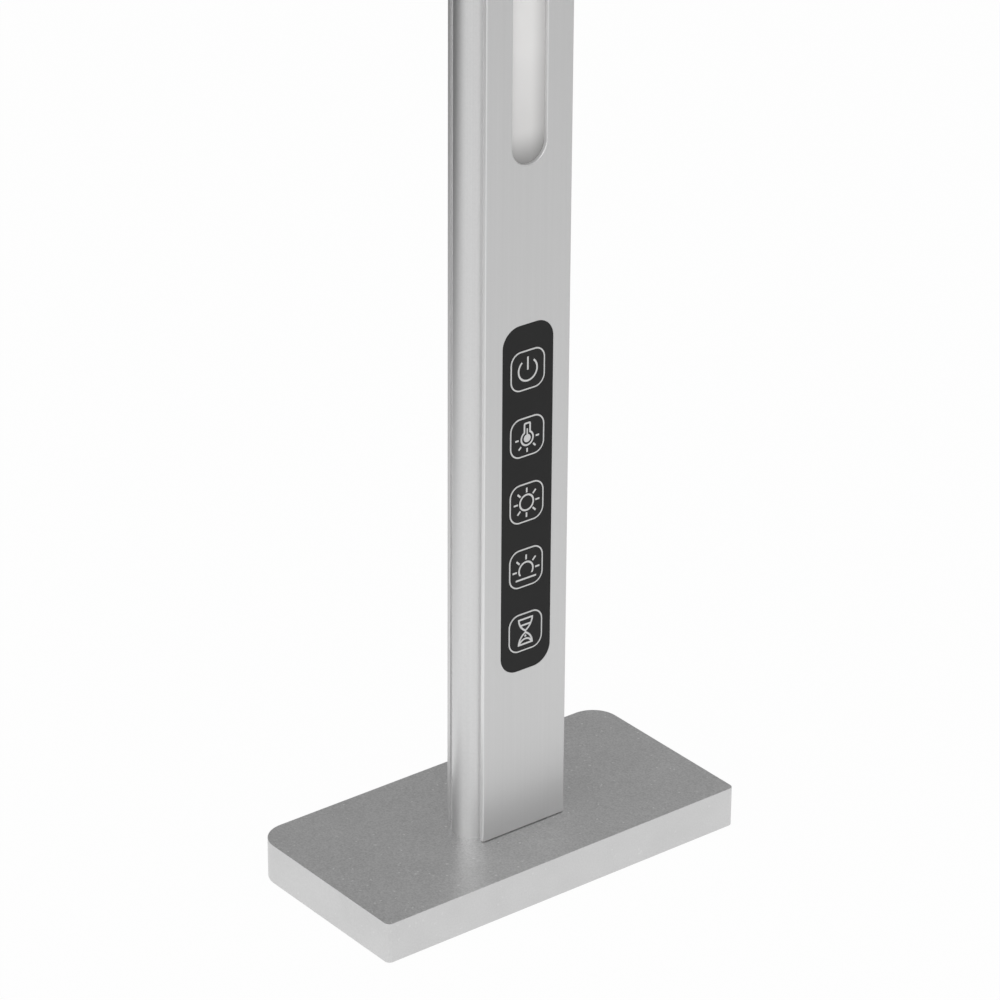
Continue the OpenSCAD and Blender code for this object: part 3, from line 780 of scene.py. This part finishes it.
def revolve(bm, geometry, centre, axis, angle, steps, whole=False):
    """Draws points and edges round an axis, and gives the last of them."""
    made = bmesh.ops.spin(
        bm,
        geom=geometry,
        cent=centre,
        axis=axis,
        angle=angle,
        steps=steps,
        dvec=(0.0, 0.0, 0.0),
        use_merge=whole,
        use_duplicate=False,
    )
    return made["geom_last"]


def push(bm, edges, way):
    """Draws a row of edges out along a straight line, and gives the new row."""
    made = bmesh.ops.extrude_edge_only(bm, edges=edges)["geom"]
    fresh = set(verts_of(made))
    bmesh.ops.translate(bm, verts=list(fresh), vec=way)
    return [edge for edge in edges_of(made) if fresh.issuperset(edge.verts)]


def turn(bm, edges, centre, steps):
    """Draws a row of edges round one bend, from left to right."""
    row = edges + list({v for edge in edges for v in edge.verts})
    return edges_of(revolve(bm, row, centre, (0.0, 1.0, 0.0), math.pi / 2, steps))


def bend_centre(sizes):
    """Where the middle of the right bend lies, to the side and up."""
    side = sizes.inner_half - sizes.bend_radius
    return side, COVER[1].z - sizes.cover_thickness - sizes.bend_radius


def over_arch(bm, edges, sizes):
    """Draws a row of edges from the top of the left leg over to that of the right."""
    bend_x, bend_z = bend_centre(sizes)
    edges = turn(bm, edges, (-bend_x, 0.0, bend_z), sizes.bend_steps)
    edges = push(bm, edges, (2 * bend_x, 0.0, 0.0))
    return turn(bm, edges, (bend_x, 0.0, bend_z), sizes.bend_steps)


def whole_arch(bm, edges, sizes):
    """Draws a closed section from the foot of the left leg to that of the right."""
    rise = bend_centre(sizes)[1] - edges[0].verts[0].co.z
    fill(bm, edges, (0.0, 0.0, -1.0))
    edges = push(bm, edges, (0.0, 0.0, rise))
    edges = over_arch(bm, edges, sizes)
    edges = push(bm, edges, (0.0, 0.0, -rise))
    fill(bm, edges, (0.0, 0.0, -1.0))
    closed(bm)


def write_run(piece, sizes):
    """Stores where each point lies on the unrolled arch, for what follows the arch."""
    mesh = piece.data
    bend_x, bend_z = bend_centre(sizes)
    quarter = math.pi / 2 * sizes.bend_radius
    foot = min(v.co.z for v in mesh.vertices)
    run = mesh.attributes.new("run", "FLOAT_VECTOR", "POINT")
    for vertex, value in zip(mesh.vertices, run.data):
        x, y, z = vertex.co
        x = abs(x)
        if z <= bend_z:
            depth, along = x - sizes.inner_half, z - foot
        elif x >= bend_x:
            turned = math.atan2(z - bend_z, x - bend_x)
            depth = math.hypot(x - bend_x, z - bend_z) - sizes.bend_radius
            along = bend_z - foot + turned * sizes.bend_radius
        else:
            depth = z - bend_z - sizes.bend_radius
            along = bend_z - foot + quarter + bend_x - x
        value.vector = (depth, y, along)


class ARCH_LAMP_OT_base_plates(Operator):
    """Makes the two heavy base plates, with broken edges and the recess of the pad"""

    bl_idname = "arch_lamp.base_plates"
    bl_label = "Base plates"

    def corners(self, bm, low, high, way):
        """The corner points on one side of the plate."""
        middle = (low + high) / 2
        return [
            v for v in bm.verts
            if way * (v.co.x - middle.x) > 0
            and min(abs(v.co.x - low.x), abs(v.co.x - high.x)) < NEAR
            and min(abs(v.co.y - low.y), abs(v.co.y - high.y)) < NEAR
        ]

    def rims(self, bm, low, high):
        """The edges round the plate's top and underside."""
        return [
            e for e in bm.edges
            if e.calc_face_angle(0.0) > RIM_ANGLE
            and abs(e.verts[0].co.z - e.verts[1].co.z) < NEAR
            and min(abs(e.verts[0].co.z - z) for z in (low.z, high.z)) < NEAR
            and any(abs(f.normal.z) < ASIDE for f in e.link_faces)
        ]

    def execute(self, context):
        sizes = context.scene.lamp_plates
        silver = blasted_silver(context.scene.lamp_finishes)
        for side, sign in SIDES.items():
            low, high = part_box(f"{side}_base_plate")
            middle, span = (low + high) / 2, high - low
            bm = bmesh.new()
            rectangle(bm, (middle.x, middle.y, low.z), span.x, span.y)
            for way, radius in (
                (sign, sizes.outer_radius), (-sign, sizes.inner_radius)
            ):
                corners = self.corners(bm, low, high, way)
                soften(bm, corners, radius, sizes.corner_steps, "VERTICES")
            thicken(bm, (0.0, 0.0, span.z))
            under = [f for f in bm.faces if f.normal.z < -FACING]
            inset(bm, under, sizes.recess_inset, -sizes.recess_depth)
            soften(bm, self.rims(bm, low, high), sizes.edge_break, segments=2)
            keep(bm, f"{side}_plate_body", f"{side}_base_plate", silver)
        return {"FINISHED"}


class ARCH_LAMP_OT_foot_pads(Operator):
    """Gives the foot pads their ribbed rubber, and all screws their steel"""

    bl_idname = "arch_lamp.foot_pads"
    bl_label = "Foot pads and screws"

    def execute(self, context):
        finishes = context.scene.lamp_finishes
        rubber = ribbed_rubber(finishes, context.scene.lamp_plates)
        steel = turned_steel("screw_steel", finishes.steel)
        for side in SIDES:
            dress(f"{side}_foot_pad", rubber)
            dress(f"{side}_base_screws", steel)
        dress("key_board_screws", steel)
        dress("driver_screws", steel)
        return {"FINISHED"}


class ARCH_LAMP_OT_section(Operator):
    """Draws the bent aluminium section from leg to leg, with its edges broken"""

    bl_idname = "arch_lamp.section"
    bl_label = "Bent section"

    def outline(self, bm):
        """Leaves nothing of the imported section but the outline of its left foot."""
        bmesh.ops.remove_doubles(bm, verts=bm.verts[:], dist=NEAR)
        foot = SECTION[0].z
        end = {
            f for f in bm.faces
            if all(v.co.x < 0 and abs(v.co.z - foot) < NEAR for v in f.verts)
        }
        rim = {e for e in bm.edges if sum(f in end for f in e.link_faces) == 1}
        kept = {v for e in rim for v in e.verts}
        spare = [v for v in bm.verts if v not in kept]
        bmesh.ops.delete(bm, geom=spare, context="VERTS")
        spare = [e for e in bm.edges if e not in rim]
        bmesh.ops.delete(bm, geom=spare, context="EDGES")
        bmesh.ops.delete(bm, geom=bm.faces[:], context="FACES_ONLY")

    def lips(self, bm, sizes):
        """The long edges of the section that show."""
        middle = (COVER[0].y + COVER[1].y) / 2
        return [
            e for e in bm.edges
            if e.calc_face_angle(0.0) > LIP_ANGLE
            and all(
                abs(f.normal.z) < FACING or f.calc_area() > TOP_AREA
                for f in e.link_faces
            )
            and all(abs(v.co.y - middle) > sizes.lip_inset for v in e.verts)
            and abs(e.verts[0].co.y - e.verts[1].co.y) < NEAR
        ]

    def execute(self, context):
        sizes = context.scene.lamp_arch
        aluminium = anodised(context.scene.lamp_finishes, sizes)
        bm = bmesh.new()
        bm.from_mesh(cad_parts["arch_profile"].data)
        self.outline(bm)
        whole_arch(bm, bm.edges[:], sizes)
        soften(bm, self.lips(bm, sizes), sizes.section_break, segments=2)
        piece = keep(
            bm, "bent_section", "arch_profile", aluminium
        )
        write_run(piece, sizes)
        return {"FINISHED"}


class ARCH_LAMP_OT_cover(Operator):
    """Makes the flat inner strip, with its slot, its window and broken edges"""

    bl_idname = "arch_lamp.cover"
    bl_label = "Cover strip"

    def leg(self, bm, sizes, side):
        """Outlines one leg's face, and gives the top edges beside its slot."""
        x = side * sizes.inner_half
        bend_z = bend_centre(sizes)[1]
        middle = (COVER[0].y + COVER[1].y) / 2
        half = sizes.slot_width / 2
        centre = (x, middle, sizes.slot_foot + half)
        start = bm.verts.new((x, middle + half, centre[2]))
        arc = revolve(
            bm, [start], centre, (1.0, 0.0, 0.0), -math.pi, sizes.arc_steps
        )
        corners = [
            bm.verts.new((x, y, z))
            for y, z in (
                (middle - half, bend_z),
                (COVER[0].y, bend_z),
                (COVER[0].y, COVER[0].z),
                (COVER[1].y, COVER[0].z),
                (COVER[1].y, bend_z),
                (middle + half, bend_z),
            )
        ]
        round_leg = join_up(bm, [verts_of(arc)[0], *corners, start])
        # The second and the sixth edge are level, one on each side of the slot
        return [round_leg[1], round_leg[5]]

    def window(self, bm, sizes):
        """Outlines the key panel's window in the left leg."""
        low, high = FRONT
        width = high.y - low.y - 2 * PANEL_LIP
        height = high.z - low.z - 2 * PANEL_LIP
        if width <= 2 * sizes.window_radius:
            raise RuntimeError("The window's corners are wider than the window")
        middle = (-sizes.inner_half, (low.y + high.y) / 2, (low.z + high.z) / 2)
        rectangle(bm, middle, width, height, ON_INNER_FACE)
        soften(bm, bm.verts[:], sizes.window_radius, sizes.arc_steps, "VERTICES")
        bmesh.ops.delete(bm, geom=bm.faces[:], context="FACES_ONLY")

    def inwards(self, face, sizes):
        """How far a face looks to the inside of the arch, from -1 to 1."""
        bend_x, bend_z = bend_centre(sizes)
        x, _, z = face.calc_center_median()
        way = Vector((-x, 0.0, 0.0))
        if z > bend_z:
            way = Vector((max(-bend_x, min(bend_x, x)) - x, 0.0, bend_z - z))
        return face.normal.dot(way.normalized())

    def rims(self, bm, sizes):
        """The edges of the strip's front along its sides and round the slot."""
        low, high = FRONT
        rims = []
        for edge in bm.edges:
            looks = sorted(self.inwards(face, sizes) for face in edge.link_faces)
            in_window = all(
                v.co.x < 0 and low.y < v.co.y < high.y and low.z < v.co.z < high.z
                for v in edge.verts
            )
            at_foot = all(v.co.z < COVER[0].z + NEAR for v in edge.verts)
            if looks[0] < ASIDE and looks[-1] > FACING and not (in_window or at_foot):
                rims.append(edge)
        return rims

    def execute(self, context):
        sizes = context.scene.lamp_arch
        aluminium = brushed(context.scene.lamp_finishes)
        bm = bmesh.new()
        self.window(bm, sizes)
        tops = self.leg(bm, sizes, -1)
        fill(bm, bm.edges[:], (1.0, 0.0, 0.0))
        left = set(bm.edges)
        self.leg(bm, sizes, 1)
        fill(bm, [e for e in bm.edges if e not in left], (-1.0, 0.0, 0.0))
        over_arch(bm, tops, sizes)
        closed(bm)
        if self.inwards(bm.faces[0], sizes) < 0:
            bmesh.ops.reverse_faces(bm, faces=bm.faces[:])
        bmesh.ops.solidify(bm, geom=bm.faces[:], thickness=sizes.cover_thickness)
        soften(bm, self.rims(bm, sizes), sizes.cover_break, segments=3)
        piece = keep(bm, "cover_face", "cover_strip", aluminium)
        write_run(piece, sizes)
        return {"FINISHED"}


class ARCH_LAMP_OT_diffuser(Operator):
    """Draws the opal diffuser behind the slot, from leg to leg"""

    bl_idname = "arch_lamp.diffuser"
    bl_label = "Diffuser"

    def execute(self, context):
        sizes = context.scene.lamp_arch
        white = opal(context.scene.lamp_finishes)
        low, high = DIFFUSER
        inner = sizes.inner_half + sizes.cover_thickness + sizes.diffuser_gap
        middle = (-(inner + high.x) / 2, (low.y + high.y) / 2, low.z)
        bm = bmesh.new()
        rectangle(bm, middle, high.x - inner, high.y - low.y)
        soften(bm, bm.verts[:], sizes.section_break, 3, "VERTICES")
        bmesh.ops.delete(bm, geom=bm.faces[:], context="FACES_ONLY")
        whole_arch(bm, bm.edges[:], sizes)
        piece = keep(bm, "opal_strip", "diffuser", white)
        write_run(piece, sizes)
        return {"FINISHED"}


class ARCH_LAMP_OT_keys(Operator):
    """Gives the key panel, the five keys and their signs their finishes"""

    bl_idname = "arch_lamp.keys"
    bl_label = "Key panel and keys"

    def execute(self, context):
        finishes = context.scene.lamp_finishes
        panel = black_film("panel_black", finishes.panel, 0.5)
        cap = black_film("key_black", finishes.panel, 0.47)
        sign = mottled(
            "legend_grey", finishes.legend, 900.0, spread=0.02, rough=(0.45, 0.55)
        )
        dress("key_panel", panel)
        for key in KEYS:
            dress(f"{key}_key", cap)
            dress(f"{key}_legend", sign)
        return {"FINISHED"}


class ARCH_LAMP_OT_inlet(Operator):
    """Turns the power inlet, with its thread, bore and pin, and makes its nut"""

    bl_idname = "arch_lamp.inlet"
    bl_label = "Power inlet"

    def outline(self, mouth, sizes):
        """Half the inlet's section, as pairs of way out of the wall and radius."""
        crest, root = sizes.thread / 2, sizes.thread / 2 - sizes.thread_depth
        body, bore, pin = sizes.body / 2, sizes.bore / 2, sizes.pin / 2
        tip = mouth - sizes.pin_inset
        back = mouth - sizes.bore_depth
        turns = int(mouth / sizes.thread_pitch)
        return [
            (tip, 0.0),
            (tip, (1 - sizes.pin_taper) * pin),
            (tip - sizes.pin_taper * pin, pin),
            (back, pin),
            (back, bore),
            (mouth - sizes.mouth_break, bore),
            (mouth, bore + sizes.mouth_break),
            (mouth, root),
            *(
                (mouth - (i + 1) * sizes.thread_pitch / 2, root if i % 2 else crest)
                for i in range(2 * turns - 1)
            ),
            (0.0, root),
            (-sizes.wall, root),
            (-sizes.wall, body),
            (back - sizes.end_wall, body),
            (back - sizes.end_wall, 0.0),
        ]

    def inlet(self, wall, sizes):
        """The inlet's body, turned about its middle line."""
        bm = bmesh.new()
        verts = [
            bm.verts.new((wall.x - out, wall.y, wall.z + radius))
            for out, radius in self.outline(wall.x - JACK[0].x, sizes)
        ]
        row = verts + join_up(bm, verts)
        revolve(bm, row, wall, (1.0, 0.0, 0.0), 2 * math.pi, sizes.steps, whole=True)
        closed(bm)
        return bm

    def nut(self, wall, sizes):
        """The six-sided nut outside the wall."""
        bm = bmesh.new()
        plane = Matrix.Translation(wall) @ ON_OUTER_FACE
        across = NUT[1].z - NUT[0].z
        for steps, radius in (
            (6, across / math.sqrt(3)), (sizes.steps, sizes.nut_bore / 2)
        ):
            bmesh.ops.create_circle(bm, segments=steps, radius=radius, matrix=plane)
        fill(bm, bm.edges[:], (-1.0, 0.0, 0.0))
        thicken(bm, (NUT[0].x - wall.x + sizes.nut_break, 0.0, 0.0))
        front = [f for f in bm.faces if f.normal.x < -FACING]
        inset(bm, front, 2 * sizes.nut_break, sizes.nut_break)
        return bm

    def execute(self, context):
        sizes = context.scene.lamp_inlet
        plastic = mottled(
            "jack_black", (0.02, 0.02, 0.021), 1400.0,
            spread=0.15, rough=(0.38, 0.5), relief=0.00004,
        )
        steel = turned_steel("nut_steel", context.scene.lamp_finishes.steel)
        middle = (JACK[0] + JACK[1]) / 2
        wall = Vector((SECTION[0].x, middle.y, middle.z))
        inlet = self.inlet(wall, sizes)
        keep(inlet, "inlet_body", "power_jack", plastic)
        keep(self.nut(wall, sizes), "inlet_nut", "jack_nut", steel)
        return {"FINISHED"}


class ARCH_LAMP_OT_inside(Operator):
    """Gives the diode strip, the boards, the driver and the wires their finishes"""

    bl_idname = "arch_lamp.inside"
    bl_label = "Parts inside"

    def execute(self, context):
        for node, material in inner_finishes().items():
            dress(node, material)
        return {"FINISHED"}


class ARCH_LAMP_OT_stage(Operator):
    """Sets up the white floor, the soft studio light and the camera"""

    bl_idname = "arch_lamp.stage"
    bl_label = "Stage"

    def floor_finish(self, look):
        """White to the camera but for the lamp's soft shadow; matt for the light."""
        material = bpy.data.materials.new("studio_floor")
        material.use_nodes = True
        tree = material.node_tree
        tree.nodes.remove(tree.nodes["Principled BSDF"])
        start = Shade(tree)
        camera, glossy, through = start.rays()
        place = start.place()
        left = place.part(0) * -1.0
        folded = place.sign("ABSOLUTE", 0.0)
        away = folded.node(
            "ShaderNodeVectorMath",
            {"operation": "DISTANCE"},
            {0: folded, 1: (SECTION[1].x, 0.0, 0.0)},
            out="Value",
        )
        shade = left.ease(1.0, look.shade_floor, *FLOOR_SHADE) * away.spread(
            1.0, look.far_floor, *FLOOR_FADE
        )
        lit = (glossy * (1 - shade)).between(WHITE, BLACK)
        white = start.node("ShaderNodeEmission", None, {"Color": lit, "Strength": 1.0})
        grain = place.noise(3.0).spread(0.995, 1.0)
        matt = start.node(
            "ShaderNodeBsdfDiffuse", None, {"Color": grain.between(BLACK, MATT_WHITE)}
        )
        seen = (camera * (1 - look.shadow)).larger(glossy).larger(through)
        mixed = start.node("ShaderNodeMixShader", None, {0: seen, 1: matt, 2: white})
        start.feed(tree.nodes["Material Output"].inputs["Surface"], mixed)
        return material

    def floor(self, look):
        """A round floor just under the pads."""
        bm = bmesh.new()
        bmesh.ops.create_circle(
            bm,
            cap_ends=True,
            segments=96,
            radius=look.floor_radius,
            matrix=Matrix.Translation((0.0, 0.0, -look.floor_drop)),
        )
        add_mesh(bm, "studio_floor", self.floor_finish(look))

    def surroundings(self, look):
        """White to the camera; for the light, bright at the horizon and dim above."""
        world = bpy.data.worlds.new("studio")
        world.use_nodes = True
        bpy.context.scene.world = world
        start = Shade(world.node_tree)
        camera, glossy, through = start.rays()
        way = start.node("ShaderNodeTexCoord", out="Generated")
        left = way.part(0) * -1.0
        sky = way.part(2).ease(look.horizon, look.overhead, *SKY_RISE)
        dimmed = sky * left.spread(1.0, look.shade_sky, *SKY_SHADE)
        seen = dimmed.larger(camera).larger(glossy * look.gloss_sky).larger(through)
        background = world.node_tree.nodes["Background"]
        start.feed(background.inputs["Color"], seen.between(BLACK, WHITE))

    def soft_lamp(self, name, place, aim, side, watts):
        """A square soft lamp that faces a point."""
        lamp = bpy.data.lights.new(name, "AREA")
        lamp.shape = "SQUARE"
        lamp.size = side
        lamp.energy = watts
        turned = (Vector(aim) - Vector(place)).to_track_quat("-Z", "Y")
        made = add_object(name, lamp)
        made.matrix_world = Matrix.Translation(place) @ turned.to_matrix().to_4x4()

    def camera(self, look):
        """The camera, at the photograph's place and angle."""
        lens = bpy.data.cameras.new("camera")
        lens.lens = look.camera_lens
        lens.sensor_width = look.camera_sensor
        lens.clip_start, lens.clip_end = 0.01, 100.0
        camera = add_object("camera", lens)
        camera.matrix_world = (
            Matrix.Translation(look.camera_place)
            @ Matrix.Rotation(look.camera_heading, 4, "Z")
            @ Matrix.Rotation(math.pi / 2 - look.camera_dip, 4, "X")
            @ Matrix.Rotation(look.camera_roll, 4, "Z")
        )
        bpy.context.scene.camera = camera

    def execute(self, context):
        look = context.scene.lamp_stage
        self.floor(look)
        self.surroundings(look)
        self.soft_lamp(
            "key_lamp", look.key_place, look.key_aim, look.key_side, look.key_power
        )
        self.soft_lamp(
            "fill_lamp", look.fill_place, look.fill_aim, look.fill_side, look.fill_power
        )
        self.camera(look)
        context.scene.view_settings.view_transform = "Standard"
        return {"FINISHED"}


PIECES = (
    ARCH_LAMP_OT_base_plates,
    ARCH_LAMP_OT_foot_pads,
    ARCH_LAMP_OT_section,
    ARCH_LAMP_OT_cover,
    ARCH_LAMP_OT_diffuser,
    ARCH_LAMP_OT_keys,
    ARCH_LAMP_OT_inlet,
    ARCH_LAMP_OT_inside,
    ARCH_LAMP_OT_stage,
)
SETTINGS = {
    "lamp_arch": ArchSizes,
    "lamp_plates": PlateSizes,
    "lamp_inlet": InletSizes,
    "lamp_finishes": LampFinishes,
    "lamp_stage": StageLook,
}


class ARCH_LAMP_PT_sidebar(Panel):
    """Lists the operators and the settings of the lamp"""

    bl_idname = "ARCH_LAMP_PT_sidebar"
    bl_label = "Arch Lamp"
    bl_space_type = "VIEW_3D"
    bl_region_type = "UI"
    bl_category = "Arch Lamp"

    def draw(self, context):
        layout = self.layout
        for piece in PIECES:
            layout.operator(piece.bl_idname, text=piece.bl_label)
        for name, group in SETTINGS.items():
            box = layout.box()
            for prop in group.__annotations__:
                box.prop(getattr(context.scene, name), prop)


CLASSES = (*SETTINGS.values(), *PIECES, ARCH_LAMP_PT_sidebar)


def register():
    for cls in CLASSES:
        bpy.utils.register_class(cls)
    for name, group in SETTINGS.items():
        setattr(bpy.types.Scene, name, PointerProperty(type=group))


def unregister():
    for name in SETTINGS:
        delattr(bpy.types.Scene, name)
    for cls in reversed(CLASSES):
        bpy.utils.unregister_class(cls)


def main():
    """Makes every piece in order."""
    register()
    for piece in PIECES:
        group, name = piece.bl_idname.split(".")
        getattr(getattr(bpy.ops, group), name)()


if __name__ == "__main__":
    main()
